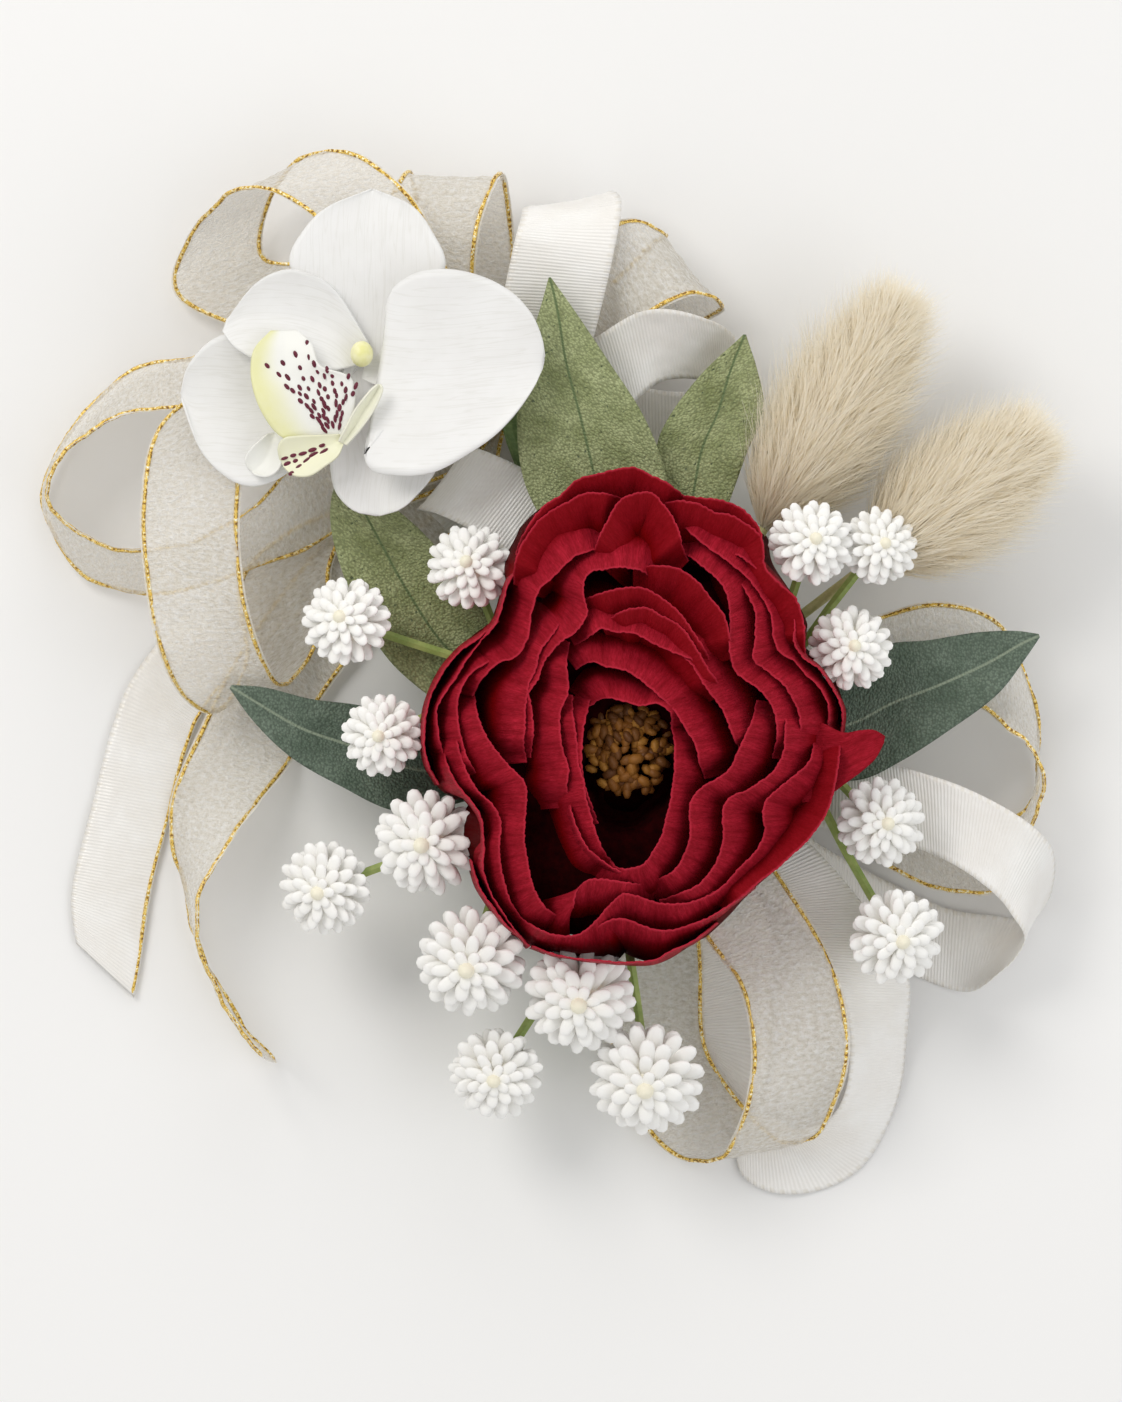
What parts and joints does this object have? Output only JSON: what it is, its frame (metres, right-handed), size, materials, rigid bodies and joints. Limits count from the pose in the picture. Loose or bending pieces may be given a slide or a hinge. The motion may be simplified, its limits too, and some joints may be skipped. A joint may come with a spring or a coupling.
{
  "type": "corsage",
  "caption": "Pin-on corsage with a nested-petal wine flower, a spotted orchid, spray flowers, leaves, plumes and looped ribbons over a hinged brooch pin.",
  "frame": {"origin": "middle of the corsage's outline on the surface that it lies on", "axes": "+Z out of the flower, away from the wearer; +Y towards the orchid, along the longest way across; +X to the viewer's right"},
  "size_m": [0.1534, 0.1578, 0.044],
  "materials": {
    "steel": "plain bright steel",
    "felt": "matt pressed felt",
    "stem_tape": "crinkled waxed green tape",
    "amber_floss": "matt brown amber floss",
    "wine_petal": "matt wine red crepe cloth",
    "light_leaf": "pebbled light green cloth",
    "dark_leaf": "pebbled dark green cloth",
    "cream_plume": "soft cream hair",
    "spray_green": "matt green moulded stems",
    "ivory_flower": "matt ivory moulded petals",
    "orchid_white": "smooth white cloth",
    "orchid_yellow": "smooth pale yellow cloth with wine spots",
    "sheer_ribbon": "sheer cream weave with metallic gold edges",
    "satin_ribbon": "white satin with fine cross ribs"
  },
  "bodies": {
    "root": {"bar_plate": "steel", "hinge_rivet": "steel", "felt_backing": "felt", "stem_binding": "stem_tape", "receptacle": "stem_tape", "orchid_spine": "stem_tape", "stamen_cluster": "amber_floss", "petal_layer_1": "wine_petal", "petal_layer_2": "wine_petal", "petal_layer_3": "wine_petal", "petal_layer_4": "wine_petal", "petal_layer_5": "wine_petal", "petal_layer_6": "wine_petal", "petal_layer_7": "wine_petal", "petal_layer_8": "wine_petal", "leaf_top": "light_leaf", "leaf_upper_right": "light_leaf", "leaf_upper_left": "light_leaf", "leaf_left": "dark_leaf", "leaf_right": "dark_leaf", "grass_tail_upper": "cream_plume", "grass_tail_lower": "cream_plume", "left_spray": "spray_green", "lower_left_spray": "spray_green", "lower_spray": "spray_green", "right_spray": "spray_green", "flower_head_01": "ivory_flower", "flower_head_02": "ivory_flower", "flower_head_03": "ivory_flower", "flower_head_04": "ivory_flower", "flower_head_05": "ivory_flower", "flower_head_06": "ivory_flower", "flower_head_07": "ivory_flower", "flower_head_08": "ivory_flower", "flower_head_09": "ivory_flower", "flower_head_10": "ivory_flower", "flower_head_11": "ivory_flower", "flower_head_12": "ivory_flower", "flower_head_13": "ivory_flower", "flower_head_14": "ivory_flower", "orchid_sepals": "orchid_white", "orchid_petals": "orchid_white", "orchid_lip": "orchid_yellow", "orchid_column": "orchid_yellow", "sheer_loop_upper_left": "sheer_ribbon", "sheer_loop_top": "sheer_ribbon", "sheer_loop_upper_right": "sheer_ribbon", "sheer_loop_left": "sheer_ribbon", "sheer_loop_lower_left": "sheer_ribbon", "sheer_tail": "sheer_ribbon", "sheer_loop_bottom": "sheer_ribbon", "sheer_loop_right": "sheer_ribbon", "satin_loop_top": "satin_ribbon", "satin_loop_upper_right": "satin_ribbon", "satin_tail": "satin_ribbon", "satin_bridge_loop": "satin_ribbon", "satin_loop_bottom": "satin_ribbon", "satin_loop_right": "satin_ribbon"},
    "needle": {"pin_needle": "steel"},
    "catch": {"catch_sleeve": "steel"}
  },
  "joints": [
    {"name": "needle_swing", "type": "hinge", "parent": "root", "child": "needle", "pos_m": [0.00011, -0.0107, 0.00325], "axis": [0, 1, 0], "range_deg": [0, 75]},
    {"name": "catch_turn", "type": "hinge", "parent": "root", "child": "catch", "pos_m": [0.02441, -0.0107, 0.00325], "axis": [1, 0, 0], "range_deg": [-110, 0]}
  ]
}
